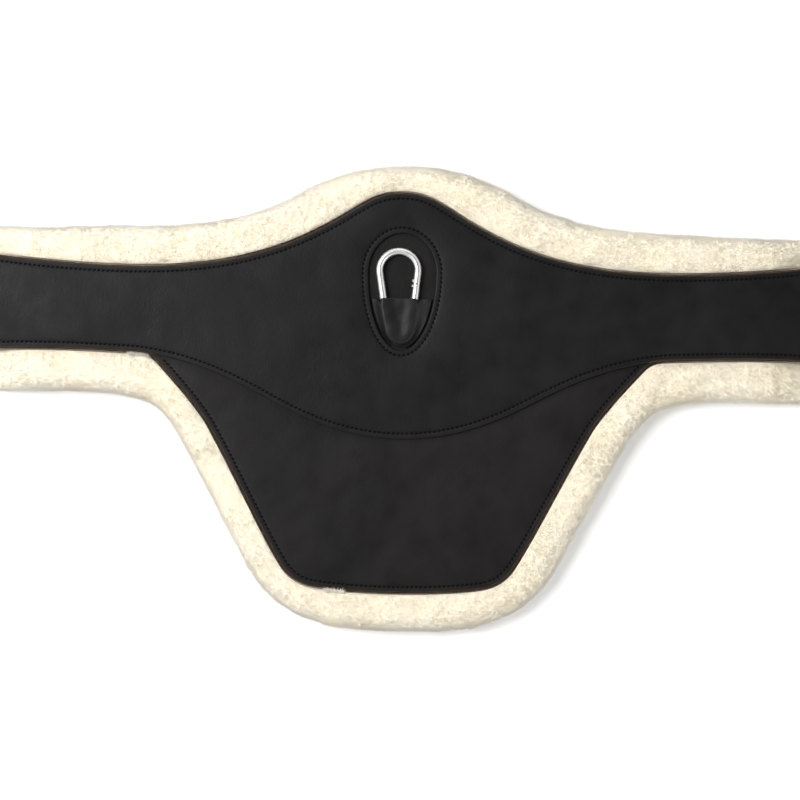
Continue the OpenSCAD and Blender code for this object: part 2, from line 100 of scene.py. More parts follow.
def smooth_loop(points, step):
    """A smooth closed curve through points, anticlockwise, in equal steps."""
    area = (points[:, 0] * np.roll(points[:, 1], -1) - np.roll(points[:, 0], -1) * points[:, 1]).sum()
    if area < 0:
        points = points[::-1]
    after = np.roll(points, -1, 0)
    gap = np.linalg.norm(after - points, axis=1)
    slope = (after - np.roll(points, 1, 0)) / (gap + np.roll(gap, 1))[:, None]
    fine = []
    for i in range(len(points)):
        t = np.linspace(0, 1, max(3, int(gap[i] / 0.3)), endpoint=False)[:, None]
        fine.append(
            (2 * t**3 - 3 * t**2 + 1) * points[i] + (t**3 - 2 * t**2 + t) * gap[i] * slope[i]
            + (3 * t**2 - 2 * t**3) * after[i] + (t**3 - t**2) * gap[i] * slope[(i + 1) % len(points)]
        )
    return resample(np.concatenate(fine), step)


def distance(points, loop):
    """Signed distance from a loop, positive inside it."""
    a = loop
    d = np.roll(loop, -1, 0) - a
    length2 = (d * d).sum(1)
    rise = np.where(d[:, 1] == 0, 1e-9, d[:, 1])
    out = np.empty(len(points))
    for k in range(0, len(points), 1500):
        p = points[k:k + 1500, None, :]
        w = p - a
        t = np.clip((w * d).sum(2) / length2, 0, 1)
        gap = np.sqrt(((w - t[..., None] * d) ** 2).sum(2).min(1))
        crossed = (a[:, 1] <= p[..., 1]) != (np.roll(a, -1, 0)[:, 1] <= p[..., 1])
        right = a[:, 0] + w[..., 1] * d[:, 0] / rise > p[..., 0]
        out[k:k + 1500] = np.where((crossed & right).sum(1) % 2 == 1, gap, -gap)
    return out


def depth(points, loops):
    """Signed distance in from the first loop and from the others, which are holes."""
    return np.minimum.reduce([distance(points, loops[0])] + [-distance(points, hole) for hole in loops[1:]])


def tangents(loop):
    """Unit directions along an anticlockwise loop."""
    along = np.roll(loop, -1, 0) - np.roll(loop, 1, 0)
    return along / np.linalg.norm(along, axis=1)[:, None]


def inwards(loop):
    """Unit normals that point into an anticlockwise loop."""
    along = tangents(loop)
    return np.column_stack([-along[:, 1], along[:, 0]])


def inset(loop, d, step=None):
    """The anticlockwise loop moved inwards by d, without the parts that would cross."""
    moved = loop + d * inwards(loop)
    kept = moved[np.abs(distance(moved, loop)) > abs(d) - 0.03]
    return resample(kept, step) if step else kept


def hex_grid(loop, step):
    """A triangular grid of points over a loop's box."""
    low, high = loop.min(0), loop.max(0)
    rows = np.arange(low[1], high[1], step * 0.866)
    return np.array([
        (x, y) for j, y in enumerate(rows)
        for x in np.arange(low[0] + (j % 2) * step / 2, high[0], step)
    ])


def fill(loops, inner=None):
    """Triangles between the first loop and the others, which are holes, through inner points.
    Point numbers run through the loops in order and then through the inner points."""
    points = np.concatenate(loops + ([inner] if inner is not None else []))
    edges, n = [], 0
    for loop in loops:
        edges += [(n + i, n + (i + 1) % len(loop)) for i in range(len(loop))]
        n += len(loop)
    _, _, faces, origin, _, _ = delaunay_2d_cdt([Vector(p) for p in points], edges, [], 1, 1e-7)
    first = np.array([o[0] for o in origin])
    faces = first[np.array([list(f) for f in faces if len(f) == 3])]
    middle = points[faces].mean(1)
    for hole in loops[1:]:
        faces, middle = (a[distance(middle, hole) < 0] for a in (faces, middle))
    a, b, c = (points[faces[:, k]] for k in range(3))
    turn = (b[:, 0] - a[:, 0]) * (c[:, 1] - a[:, 1]) - (b[:, 1] - a[:, 1]) * (c[:, 0] - a[:, 0])
    faces[turn < 0] = faces[turn < 0][:, ::-1]
    return points, faces


def waves(p, size, seed):
    """A smooth random field of features about size across, mostly within -1 and 1."""
    rng = np.random.default_rng(seed)
    count = 24
    way = rng.normal(size=(count, p.shape[1]))
    way /= np.linalg.norm(way, axis=1)[:, None]
    way *= (2 * math.pi / (size * rng.uniform(0.8, 2.2, count)))[:, None]
    return np.sin(p @ way.T + rng.uniform(0, 2 * math.pi, count)).sum(1) / math.sqrt(count)


# ---- Meshes ----

def strip(first, second, n):
    """Triangles between two closed rows of n points, numbered from first and from second."""
    i = np.arange(n)
    j = (i + 1) % n
    return np.vstack([
        np.column_stack([first + i, first + j, second + j]),
        np.column_stack([first + i, second + j, second + i]),
    ])


def build(name, points, faces, material, slot, body=None, tidy=True, normals=None, **fields):
    """A mesh object from points in mm and triangles. Fields are named values, one per point."""
    mesh = bpy.data.meshes.new(name)
    faces = np.asarray(faces, np.int32)
    mesh.vertices.add(len(points))
    mesh.vertices.foreach_set("co", (np.asarray(points) * MM).astype(np.float32).ravel())
    mesh.loops.add(faces.size)
    mesh.loops.foreach_set("vertex_index", faces.ravel())
    mesh.polygons.add(len(faces))
    mesh.polygons.foreach_set("loop_start", np.arange(0, faces.size, 3, dtype=np.int32))
    mesh.polygons.foreach_set("use_smooth", np.ones(len(faces), bool))
    mesh.update(calc_edges=True)
    for key, values in fields.items():
        mesh.attributes.new(key, "FLOAT", "POINT").data.foreach_set("value", values.astype(np.float32))
    if tidy:
        work = bmesh.new()
        work.from_mesh(mesh)
        bmesh.ops.recalc_face_normals(work, faces=work.faces)
        work.to_mesh(mesh)
        work.free()
    if normals is not None:
        mesh.normals_split_custom_set_from_vertices(normals.astype(np.float32))
    mesh.materials.append(material)
    piece = bpy.data.objects.new(name, mesh)
    bpy.context.scene.collection.objects.link(piece)
    if body:
        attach(piece, body)
    return piece


# ---- Materials ----

def new_shader(name, **sockets):
    """A Principled material with constant values on its own sockets."""
    material = bpy.data.materials.new(name)
    material.use_nodes = True
    bsdf = material.node_tree.nodes["Principled BSDF"]
    for key, value in sockets.items():
        socket = bsdf.inputs[key.replace("_", " ")]
        socket.default_value = (*value, 1) if isinstance(value, tuple) else value
    return material, material.node_tree, bsdf


def node(tree, kind, inputs=None, **settings):
    made = tree.nodes.new(kind)
    for key, value in settings.items():
        setattr(made, key, value)
    for key, value in (inputs or {}).items():
        if isinstance(value, bpy.types.NodeSocket):
            tree.links.new(value, made.inputs[key])
        else:
            made.inputs[key].default_value = value
    return made


def place(tree):
    """Object coordinates, which are in metres."""
    return node(tree, "ShaderNodeTexCoord").outputs["Object"]


def noise(tree, scale, detail=3.0):
    """Soft noise, scale features to the metre."""
    inputs = {"Vector": place(tree), "Scale": scale, "Detail": detail}
    return node(tree, "ShaderNodeTexNoise", inputs).outputs["Fac"]


def ramp(tree, value, stops):
    """A colour ramp, stops as (position, linear colour)."""
    made = node(tree, "ShaderNodeValToRGB", {"Fac": value})
    elements = made.color_ramp.elements
    while len(elements) < len(stops):
        elements.new(0.5)
    for element, (position, colour) in zip(elements, stops):
        element.position = position
        element.color = (*colour, 1)
    return made.outputs["Color"]


def spread(tree, value, low, high, out_low, out_high):
    """The value's range from low to high, stretched to out_low to out_high."""
    return node(tree, "ShaderNodeMapRange", {
        "Value": value, "From Min": low, "From Max": high, "To Min": out_low, "To Max": out_high,
    }).outputs["Result"]


def bump(tree, bsdf, heights):
    """Bump from several (height, metres) pairs, one on the other."""
    normal = None
    for height, metres in heights:
        inputs = {"Height": height, "Distance": metres, "Strength": 1.0}
        if normal:
            inputs["Normal"] = normal
        normal = node(tree, "ShaderNodeBump", inputs).outputs["Normal"]
    tree.links.new(normal, bsdf.inputs["Normal"])


def leather(name, dark, light, rough=(0.42, 0.56), grain=0.00009, rim=None, gloss=0.18):
    """Grained leather, with a rim colour where the mesh says it is an edge."""
    material, tree, bsdf = new_shader(name, Specular_IOR_Level=gloss)
    cloudy = noise(tree, 14, 4)
    colour = ramp(tree, cloudy, [(0.32, dark), (0.68, light)])
    if rim:
        edge = node(tree, "ShaderNodeAttribute", attribute_name="rim").outputs["Fac"]
        mix = node(tree, "ShaderNodeMix", {0: edge, 6: colour, 7: (*rim, 1)}, data_type="RGBA")
        colour = mix.outputs[2]
    tree.links.new(colour, bsdf.inputs["Base Color"])
    tree.links.new(spread(tree, noise(tree, 60, 4), 0.3, 0.7, *rough), bsdf.inputs["Roughness"])
    pebbles = node(tree, "ShaderNodeTexVoronoi", {"Vector": place(tree), "Scale": 900.0}, feature="SMOOTH_F1")
    bump(tree, bsdf, [
        (noise(tree, 60, 5), 0.00035), (pebbles.outputs["Distance"], grain), (noise(tree, 2600, 2), 0.00002),
    ])
    return material


def steel(name, tint, rough=(0.12, 0.24), scratch=0.000004):
    """Polished metal with a slightly uneven, finely scratched surface."""
    material, tree, bsdf = new_shader(name, Metallic=1.0)
    tree.links.new(
        ramp(tree, noise(tree, 90, 3), [(0.3, tuple(0.86 * c for c in tint)), (0.7, tint)]),
        bsdf.inputs["Base Color"],
    )
    tree.links.new(spread(tree, noise(tree, 260, 4), 0.3, 0.7, *rough), bsdf.inputs["Roughness"])
    bump(tree, bsdf, [(noise(tree, 170, 2), 0.000015), (noise(tree, 3000, 2), scratch)])
    return material


def cloth(name, dark, light, pitch, depth, rough=0.85, sheen=0.0, gloss=0.25):
    """A plain weave: two crossed sets of ridges."""
    material, tree, bsdf = new_shader(name, Roughness=rough, Sheen_Weight=sheen, Specular_IOR_Level=gloss)
    ridges = []
    for axis in ("X", "Y"):
        wave = node(tree, "ShaderNodeTexWave", {
            "Vector": place(tree), "Scale": 1 / pitch / 3.2, "Distortion": 0.4, "Detail": 1.0,
        }, bands_direction=axis)
        ridges.append(wave.outputs["Fac"])
    weave = node(tree, "ShaderNodeMath", {0: ridges[0], 1: ridges[1]}, operation="MULTIPLY").outputs[0]
    worn = node(tree, "ShaderNodeMath", {0: weave, 1: noise(tree, 45, 3)}, operation="ADD").outputs[0]
    tree.links.new(ramp(tree, worn, [(0.3, dark), (1.0, light)]), bsdf.inputs["Base Color"])
    bump(tree, bsdf, [(weave, depth)])
    return material


def wool_tone(name, colour):
    """A wool fibre's finish."""
    return new_shader(name, Base_Color=colour, Roughness=0.9, Specular_IOR_Level=0.12, Sheen_Weight=0.25)[0]


BROWN = (0.045, 0.024, 0.015)
outer_leather = leather("outer_leather", (0.0034, 0.0033, 0.0034), (0.0062, 0.0061, 0.0061), rim=BROWN)
guard_leather = leather("guard_leather", (0.0050, 0.0043, 0.0043), (0.0080, 0.0068, 0.0067), rim=BROWN)
sleeve_leather = leather(
    "sleeve_leather", (0.0035, 0.0035, 0.0035), (0.0065, 0.0063, 0.0063), (0.38, 0.5), 0.00003, gloss=0.24)
strap_leather = leather("strap_leather", (0.008, 0.0075, 0.0075), (0.014, 0.0135, 0.013))
lining_leather = leather("lining_leather", (0.020, 0.011, 0.008), (0.040, 0.023, 0.015), (0.5, 0.7))
thread = cloth("thread", (0.0006, 0.0006, 0.0006), (0.0016, 0.0015, 0.0015), 0.0004, 0.00005, 0.7, gloss=0.08)
webbing = cloth("webbing", (0.35, 0.34, 0.31), (0.62, 0.60, 0.56), 0.0016, 0.0003)
hook_tape = cloth("hook_tape", (0.012, 0.012, 0.012), (0.035, 0.035, 0.036), 0.0014, 0.0005)
loop_tape = cloth("loop_tape", (0.55, 0.50, 0.40), (0.80, 0.75, 0.64), 0.0011, 0.0003, sheen=0.4)
foam = cloth("foam", (0.07, 0.07, 0.08), (0.13, 0.13, 0.14), 0.0009, 0.0002)
elastic = cloth("elastic", (0.010, 0.010, 0.011), (0.030, 0.030, 0.032), 0.0009, 0.00025)
hide = leather("hide", (0.55, 0.47, 0.35), (0.72, 0.64, 0.50), (0.75, 0.9), 0.00012, gloss=0.15)
hook_steel = steel("hook_steel", (0.68, 0.68, 0.67), (0.36, 0.48))
pin_steel = steel("pin_steel", (0.72, 0.72, 0.71), (0.2, 0.34))
spring_steel = steel("spring_steel", (0.55, 0.55, 0.56), (0.25, 0.4))
buckle_steel = steel("buckle_steel", (0.78, 0.77, 0.75), (0.16, 0.3))
WOOL_TONES = [
    # The palest tone also carries the painted backlight of the outer fringe.
    wool_tone("wool_pale", (0.906, 0.860, 0.765)),
    wool_tone("wool_cream", (0.906, 0.843, 0.712)),
    wool_tone("wool_warm", (0.906, 0.833, 0.680)),
    wool_tone("wool_yellow", (0.904, 0.826, 0.660)),
    wool_tone("wool_straw", (0.902, 0.818, 0.642)),
]


def wool_ground():
    """The wool between the fibres: cream, mottled, with a tufted bump."""
    material, tree, bsdf = new_shader("wool_ground", Roughness=0.95, Specular_IOR_Level=0.1, Sheen_Weight=0.3)
    patches = noise(tree, 36, 4)
    tree.links.new(
        ramp(tree, patches, [(0.3, (0.901, 0.822, 0.650)), (0.7, (0.904, 0.838, 0.695))]),
        bsdf.inputs["Base Color"],
    )
    bump(tree, bsdf, [(noise(tree, 420, 4), 0.0005)])
    return material


# ---- Outlines, read from the CAD ----

leather_line = smooth_loop(flat_loops("base_panel", PANEL_BOTTOM)[0], 1.5)
panel_loops = flat_loops("outer_panel", PANEL_TOP)
panel_line = smooth_loop(panel_loops[0], 1.5)
window_line = smooth_loop(panel_loops[1], 1.0)
fleece_line = inset(smooth_loop(flat_loops("wool_pile", 0.0)[0], 2.0), -10, 2.0)
leather_rough = resample(leather_line, 4)
panel_rough = resample(panel_line, 3)
fleece_rough = resample(fleece_line, 4)


def edge_drop(d, r):
    """How far a rounded edge of radius r lies below the top, d in from the edge."""
    d = np.clip(d, 0, r)
    return r - np.sqrt(np.maximum(r * r - (r - d) ** 2, 0))


def pillow(d):
    """Leather pulled down along a stitch line and swelling beyond it."""
    groove = -0.32 * np.exp(-((d - STITCH_INSET) / 0.75) ** 2)
    return groove + np.clip(1 - np.exp(-np.maximum(d - STITCH_INSET, 0) / 9), 0, 1)


def outer_height(p, d=None):
    """Top of the outer panel at points p, d in from its edges."""
    if d is None:
        d = depth(p, [panel_line, window_line])
    sway = 0.28 * waves(p, 70, 11) + 0.09 * waves(p, 22, 12)
    return PANEL_TOP + 0.75 * pillow(d) + sway * np.clip(d / 14, 0, 1) - edge_drop(d, 0.8)


def guard_height(p, d=None):
    """Top of the base panel: flat under the outer panel, swelling behind it."""
    beyond = np.clip((-distance(p, panel_rough) - 1) / 9, 0, 1)
    if d is None:
        d = distance(p, leather_line)
    sway = 0.30 * waves(p, 60, 13) + 0.09 * waves(p, 20, 14)
    swell = (0.75 * pillow(d) + sway * np.clip(d / 14, 0, 1)) * beyond
    return PANEL_BOTTOM + swell - edge_drop(d, 0.8)


EDGE_RINGS = (0.08, 0.3, 0.65, 1.1, 1.8, 2.7, 3.6, 4.3, 5.0, 6.0, 8.0)


def leather_panel(name, loops, bottom, height, material, slot):
    """A leather sheet with rounded edges. loops are its outline and then its holes."""
    rings = []
    for d in EDGE_RINGS:
        rings.append(inset(loops[0], d, 1.5))
        rings += [inset(hole, -d, 1.1) for hole in loops[1:]]
    grid = hex_grid(loops[0], 4.2)
    flat, faces = fill(loops, np.concatenate(rings + [grid[depth(grid, loops) > 9.5]]))
    d = depth(flat, loops)
    rim_count = sum(len(loop) for loop in loops)
    d[:rim_count] = 0
    top = np.column_stack([flat, height(flat, np.maximum(d, 0))])
    foot, under = fill(loops)
    points = np.vstack([top, np.column_stack([foot, np.full(len(foot), bottom)])])
    parts, n = [faces, under[:, ::-1] + len(top)], 0
    for loop in loops:
        parts.append(strip(n + len(top), n, len(loop)))
        n += len(loop)
    worn = np.clip(1 - (np.maximum(d, 0) - 0.45 - 0.15 * waves(flat, 9, 15)) / 0.5, 0, 1)
    rim = np.concatenate([worn, np.ones(len(foot))])
    rim *= np.abs(distance(np.concatenate([flat, foot]), leather_rough)) < 2
    return build(name, points, np.vstack(parts), material, slot, "girth", rim=rim)


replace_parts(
    leather_panel("outer_panel_leather", [panel_line, window_line], PANEL_BOTTOM + 0.02, outer_height,
                  outer_leather, "outer_leather"),
    "outer_panel")
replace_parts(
    leather_panel("base_panel_leather", [leather_line], BASE_BOTTOM, guard_height,
                  guard_leather, "guard_leather"),
    "base_panel")


# ---- Lining, with its edge turned up round the leather ----

def under_band(p):
    """1 where an elastic leaves over the lining's edge, 0 elsewhere."""
    out = np.zeros(len(p))
    for y in STRAPS.values():
        near = 1 - np.clip((np.abs(p[:, 1] - y) - 14.4) / 0.8, 0, 1)
        out = np.maximum(out, near * (np.abs(p[:, 0]) > 325))
    return out


def lining_piece():
    """The lining's floor and its turned-up edge, with a low place where each elastic leaves."""
    profile = [
        (2.4, 17.55), (1.0, 17.55), (0.2, 17.7), (-0.3, 18.4), (-0.6, 20.0), (-0.65, 23.4),
        (-0.6, 24.5), (-0.45, 25.0), (-0.25, 25.15), (-0.06, 24.9), (-0.06, 22.92), (2.2, 22.92),
        (2.3, 19.1), (2.45, 19.0),
    ]
    inward = inwards(leather_line)
    low = under_band(leather_line)
    rings = []
    for d, z in profile:
        flat = leather_line + d * inward
        if d < -0.4:
            flat = flat - 0.1 * waves(flat, 26, 16)[:, None] * inward
        rings.append(np.column_stack([flat, z - low * max(0, z - 18.6)]))
    n = len(leather_line)
    parts = [strip(k * n, (k + 1) * n, n) for k in range(len(rings) - 1)]
    _, floor = fill([rings[0][:, :2]])
    parts += [floor[:, ::-1], floor + (len(rings) - 1) * n]
    return build("lining_edge", np.vstack(rings), np.vstack(parts), lining_leather, "lining_leather", "girth")


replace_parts(lining_piece(), "lining")


# ---- Stitching ----

def stitches(name, centres, along, up, material, body, long=2.9, thick=0.68, slant=20):
    """Rounded thread dashes at centres, slanted from along about up, their ends in the leather."""
    rings, around = 5, 6
    turn = math.radians(slant)
    across = np.cross(up, along)
    run = along * math.cos(turn) + across * math.sin(turn)
    side = np.cross(up, run)
    u = np.linspace(-1, 1, rings)
    points = []
    for s in u:
        lift = thick * (0.85 * (1 - s**4) - 0.5)
        radius = thick * (1 - 0.55 * s**4)
        for k in range(around):
            a = 2 * math.pi * k / around
            points.append(centres + run * s * long / 2 + side * radius * math.cos(a)
                          + up * (lift + 0.85 * radius * math.sin(a)))
    points.append(centres - run * (long / 2 + 0.15) - up * thick * 0.8)
    points.append(centres + run * (long / 2 + 0.15) - up * thick * 0.8)
    points = np.stack(points, 1)
    each = points.shape[1]
    one = [strip(k * around, (k + 1) * around, around) for k in range(rings - 1)]
    k = np.arange(around)
    last = (rings - 1) * around
    one.append(np.column_stack([(k + 1) % around, k, np.full(around, each - 2)]))
    one.append(np.column_stack([last + k, last + (k + 1) % around, np.full(around, each - 1)]))
    one = np.vstack(one)
    faces = (one[None] + np.arange(len(centres))[:, None, None] * each).reshape(-1, 3)
    return build(name, points.reshape(-1, 3), faces, material, "thread", body)


def stitch_run(name, line, height, keep=None):
    """Stitches along a loop on a leather surface that height gives."""
    line = resample(line, STITCH_PITCH)
    along = tangents(line)
    if keep is not None:
        mask = keep(line)
        line, along = line[mask], along[mask]
    z = height(line)
    step = 0.4
    tilt_x = (height(line + [step, 0]) - height(line - [step, 0])) / (2 * step)
    tilt_y = (height(line + [0, step]) - height(line - [0, step])) / (2 * step)
    up = np.column_stack([-tilt_x, -tilt_y, np.ones(len(line))])
    up /= np.linalg.norm(up, axis=1)[:, None]
    flat = np.column_stack([along, np.zeros(len(line))])
    return stitches(name, np.column_stack([line, z + 0.12]), flat, up, thread, "girth")


stitch_run("edge_stitches", inset(panel_line, STITCH_INSET), outer_height)
stitch_run("window_stitches", inset(window_line, -STITCH_INSET), outer_height)
stitch_run(
    "guard_stitches", inset(leather_line, STITCH_INSET), guard_height,
    lambda p: distance(p, panel_rough) < -1.5)


# ---- Snap hook's sleeve ----

HOOK_FOOT = np.array([-1.4, 54.2])
HOOK_LEAN = math.radians(1.6)
HOOK_LONG = 45.8
SMALL_R = 9.0
BIG_R = 15.0
MOUTH_Y = 78.1
RIDGE_Z = 35.3         # sleeve over the wire
HOLLOW_Z = 34.5        # sleeve between the legs
SEAM_Z = 28.5          # sleeve at its outer edge
BACKING_TOP = 26.8
BACKING_BOTTOM = 25.62


def wire_distance(p):
    """Signed distance from the hook's centreline, positive outside it."""
    c, s = math.cos(HOOK_LEAN), math.sin(HOOK_LEAN)
    q = p - HOOK_FOOT
    x = np.abs(q[:, 0] * c + q[:, 1] * s)
    y = -q[:, 0] * s + q[:, 1] * c
    b = (SMALL_R - BIG_R) / HOOK_LONG
    a = math.sqrt(1 - b * b)
    k = -b * x + a * y
    low = np.hypot(x, y) - SMALL_R
    high = np.hypot(x, y - HOOK_LONG) - BIG_R
    side = x * a + y * b - SMALL_R
    return np.where(k < 0, low, np.where(k > a * HOOK_LONG, high, side))


def sleeve_line(gap):
    """The window's egg, gap inside it, cut straight across at the mouth."""
    line = inset(window_line, gap, 0.5)
    line = line[line[:, 1] < MOUTH_Y]
    first = np.argmax(np.linalg.norm(np.roll(line, 1, 0) - line, axis=1))
    line = np.roll(line, -first, 0)
    ends = [line[-1] * [1, 0] + [0, MOUTH_Y], line[0] * [1, 0] + [0, MOUTH_Y]]
    return resample(np.vstack([line, ends]), 0.6)


def sleeve_height(p, line, d=None):
    """Top of the moulded sleeve: a ridge over the wire that falls away to the edge, and to a hollow
    between the legs."""
    s = wire_distance(p)
    beyond = np.maximum(s - 1.3, 0)
    outer = beyond / (beyond + np.maximum(distance(p, line), 0.02))
    inner = np.clip((-s - 1.3) / 8, 0, 1)
    share = np.where(s > 0, outer, inner)
    fall = share * share * (3 - 2 * share)
    z = RIDGE_Z + (np.where(s > 0, SEAM_Z, HOLLOW_Z) - RIDGE_Z) * fall + 0.14 * waves(p, 13, 21)
    return z if d is None else z - edge_drop(d, 0.6)


def sleeve_shell():
    """The sleeve's moulded front, a shell of even thickness."""
    line = sleeve_line(1.5)
    grid = hex_grid(line, 0.85)
    grid = grid[distance(grid, line) > 1.5]
    rings = [inset(line, d, 0.6) for d in (0.1, 0.3, 0.6, 1.1)]
    flat, faces = fill([line], np.concatenate(rings + [grid]))
    d = np.maximum(distance(flat, line), 0)
    d[:len(line)] = 0
    z = sleeve_height(flat, line, d)
    under = np.maximum(sleeve_height(flat, line) - 1.3, BACKING_TOP + 0.02)
    n = len(flat)
    points = np.vstack([np.column_stack([flat, z]), np.column_stack([flat, np.minimum(under, z - 0.7)])])
    parts = [faces, faces[:, ::-1] + n, strip(n, 0, len(line))]
    return build("sleeve_cover", points, np.vstack(parts), sleeve_leather, "sleeve_leather", "hook")


def sleeve_floor():
    """The sleeve's flat back layer, with an opening for the anchor strap."""
    line = sleeve_line(1.4)
    wide = [HOOK_FOOT[0] - 6.9, HOOK_FOOT[0] + 7.1]
    span = (line[:, 0] > wide[0]) & (line[:, 0] < wide[1]) & (line[:, 1] < 50)
    line = np.where(span[:, None], line * [1, 0] + [0, 50.4], line)
    _, top = fill([line])
    n = len(line)
    points = np.vstack([np.column_stack([line, np.full(n, z)]) for z in (BACKING_TOP, BACKING_BOTTOM)])
    return build("sleeve_backing", points, np.vstack([top, top[:, ::-1] + n, strip(n, 0, n)]),
                 sleeve_leather, "sleeve_leather", "hook")


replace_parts(sleeve_shell(), "sleeve_front")
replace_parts(sleeve_floor(), "sleeve_back")


def copy_of(name):
    """A mesh object with a CAD node's own mesh, welded."""
    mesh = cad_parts[name].data.copy()
    work = bmesh.new()
    work.from_mesh(mesh)
    bmesh.ops.remove_doubles(work, verts=work.verts, dist=1e-6)
    bmesh.ops.triangulate(work, faces=work.faces)
    for _ in range(2):
        long_edges = [e for e in work.edges if e.calc_length() > 0.0015]
        bmesh.ops.subdivide_edges(work, edges=long_edges, cuts=1)
        bmesh.ops.triangulate(work, faces=work.faces)
    work.to_mesh(mesh)
    work.free()
    piece = bpy.data.objects.new(name + "_leather", mesh)
    bpy.context.scene.collection.objects.link(piece)
    return piece


anchor = copy_of("anchor_strap")
anchor.data.materials.clear()
anchor.data.materials.append(strap_leather)
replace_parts(anchor, "anchor_strap")
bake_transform(anchor)


# ---- Elastics and chapes at the four strap ends ----

def at_end(side, y, local):
    """Points (along, across, up) of a strap end, put where the strap leaves the girth."""
    x, up = local[:, 0], local[:, 2]
    bent = x > 0
    out = np.where(bent, x * DROOP[0] + up * DROOP[1], x)
    z = np.where(bent, up * DROOP[0] - x * DROOP[1], up)
    return np.column_stack([side * (BAND_START + out), y + local[:, 1], BAND_Z + z])


def elastic_band(end, side, y):
    """A ribbed elastic from inside the girth to its chape. It stretches between the two."""
    across = np.linspace(-1, 1, 61)
    half, thick = 14.0, 1.0
    edge = np.sqrt(np.clip(1 - ((np.abs(across) * half - (half - thick)) / thick).clip(0) ** 2, 0, 1))
    ribs = 0.13 * np.cos(across * half * 2 * math.pi / 2.55)
    upper = np.column_stack([across * half, (thick + ribs) * edge])
    ring = np.vstack([upper, (upper * [1, -1])[-2:0:-1]])
    stations = np.arange(-46.5, 54.1, 1.5)
    n = len(ring)
    rows = []
    for s in stations:
        narrow = 1 - 0.004 * math.cos(s * 2.1)
        rows.append(np.column_stack([np.full(n, s), ring * [narrow, 1]]))
    parts = [strip(k * n, (k + 1) * n, n) for k in range(len(rows) - 1)]
    k = np.arange(1, n - 1)
    parts.append(np.column_stack([np.zeros(n - 2, int), k, k + 1]))
    parts.append(parts[-1][:, ::-1] + (len(rows) - 1) * n)
    points = at_end(side, y, np.vstack(rows))
    piece = build("elastic_band_" + end, points, np.vstack(parts), elastic, "elastic")
    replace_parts(piece, "elastic_" + end)
    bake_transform(piece)


CHAPE_START = 34.2     # along from BAND_START
BAR_AT = 68.0          # the buckle's bar, along from BAND_START
FOLD_R = 3.08          # middle of the leather round the bar
SLOT_START = 55.4
SLOT_HALF = 3.15


def chape_leather(end, side, y):
    """One strip of leather folded round the buckle's bar, slotted for the tongue."""
    bend = [math.radians(a) for a in range(-105, 106, 7)]
    lower = [(CHAPE_START + 1.1 * k, -2.2) for k in range(28)] + [(65.4, -2.35), (66.4, -2.6)]
    fold = [(BAR_AT + FOLD_R * math.cos(a), FOLD_R * math.sin(a)) for a in bend]
    path = np.array(lower + fold + [(x, -z) for x, z in reversed(lower)])
    half = [1.6, SLOT_HALF, 3.7, 4.9, 6.8, 9, 11.2, 11.9]
    across = np.array([-v for v in reversed(half)] + [0] + half)
    n = len(across)
    points = np.array([(x, v, z) for x, z in path for v in across])
    quads = []
    for i in range(len(path) - 1):
        for j in range(n - 1):
            middle = abs(across[j] + across[j + 1]) / 2 < SLOT_HALF
            if not (middle and min(path[i][0], path[i + 1][0]) > SLOT_START):
                quads.append((i * n + j, i * n + j + 1, (i + 1) * n + j + 1, (i + 1) * n + j))
    mesh = bpy.data.meshes.new("chape_leather_" + end)
    mesh.from_pydata((at_end(side, y, points) * MM).tolist(), [], quads)
    mesh.materials.append(strap_leather)
    piece = bpy.data.objects.new(mesh.name, mesh)
    bpy.context.scene.collection.objects.link(piece)
    work = bmesh.new()
    work.from_mesh(mesh)
    bmesh.ops.delete(work, geom=[v for v in work.verts if not v.link_faces], context="VERTS")
    bmesh.ops.recalc_face_normals(work, faces=work.faces)
    work.to_mesh(mesh)
    work.free()
    solid = piece.modifiers.new("solid", "SOLIDIFY")
    solid.thickness = 1.95 * MM
    solid.offset = 0
    solid.use_even_offset = True
    round_edges = piece.modifiers.new("round", "BEVEL")
    round_edges.width = 0.4 * MM
    round_edges.segments = 2
    round_edges.limit_method = "ANGLE"
    for polygon in mesh.polygons:
        polygon.use_smooth = True
    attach(piece, f"chape_{end}_body")
    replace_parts(piece, "chape_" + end)
    local, along = [], []
    for v in (-9.2, 9.2):
        for x in np.arange(36.5, 62, 3.4):
            local.append((x, v, 3.25))
            along.append((1, 0, 0))
    for x in (36.5, 52.0):
        for v in np.arange(-6.9, 7, 3.45):
            local.append((x, v, 3.25))
            along.append((0, 1, 0))
    local, along = np.array(local, float), np.array(along, float)
    tip = at_end(side, y, local + along * 0.01)
    centres = at_end(side, y, local)
    along = (tip - centres) / np.linalg.norm(tip - centres, axis=1)[:, None]
    up = np.tile([side * DROOP[1], 0, DROOP[0]], (len(local), 1))
    stitches("chape_stitches_" + end, centres, along, up, thread, f"chape_{end}_body", 2.5, 0.38, 6)


for side_name, side in SIDES.items():
    for strap_name, y in STRAPS.items():
        end = f"{side_name}_{strap_name}"
        elastic_band(end, side, y)
        chape_leather(end, side, y)


# ---- Sheepskin ----

PAD_EDGE = 2.6         # from the CAD wool's outline in to the pad's own side
CROWN_IN = 15.0        # and in to where its crown is full
SIDE_TOP = 12.0
CROWN = 11.8           # above the side
POCKET_FLOOR = 13.9
RIM_FIBRES = 225000
UNDER_FIBRES = 60000
TONE_LIMIT = 47000     # four faces a fibre, and the export takes at most 200,000 a piece

def end_scale(x):
    """How far the wool is pressed down under the elastics at the two ends."""
    return 1 - 0.41 * np.clip((np.abs(x) - 290) / 30, 0, 1)


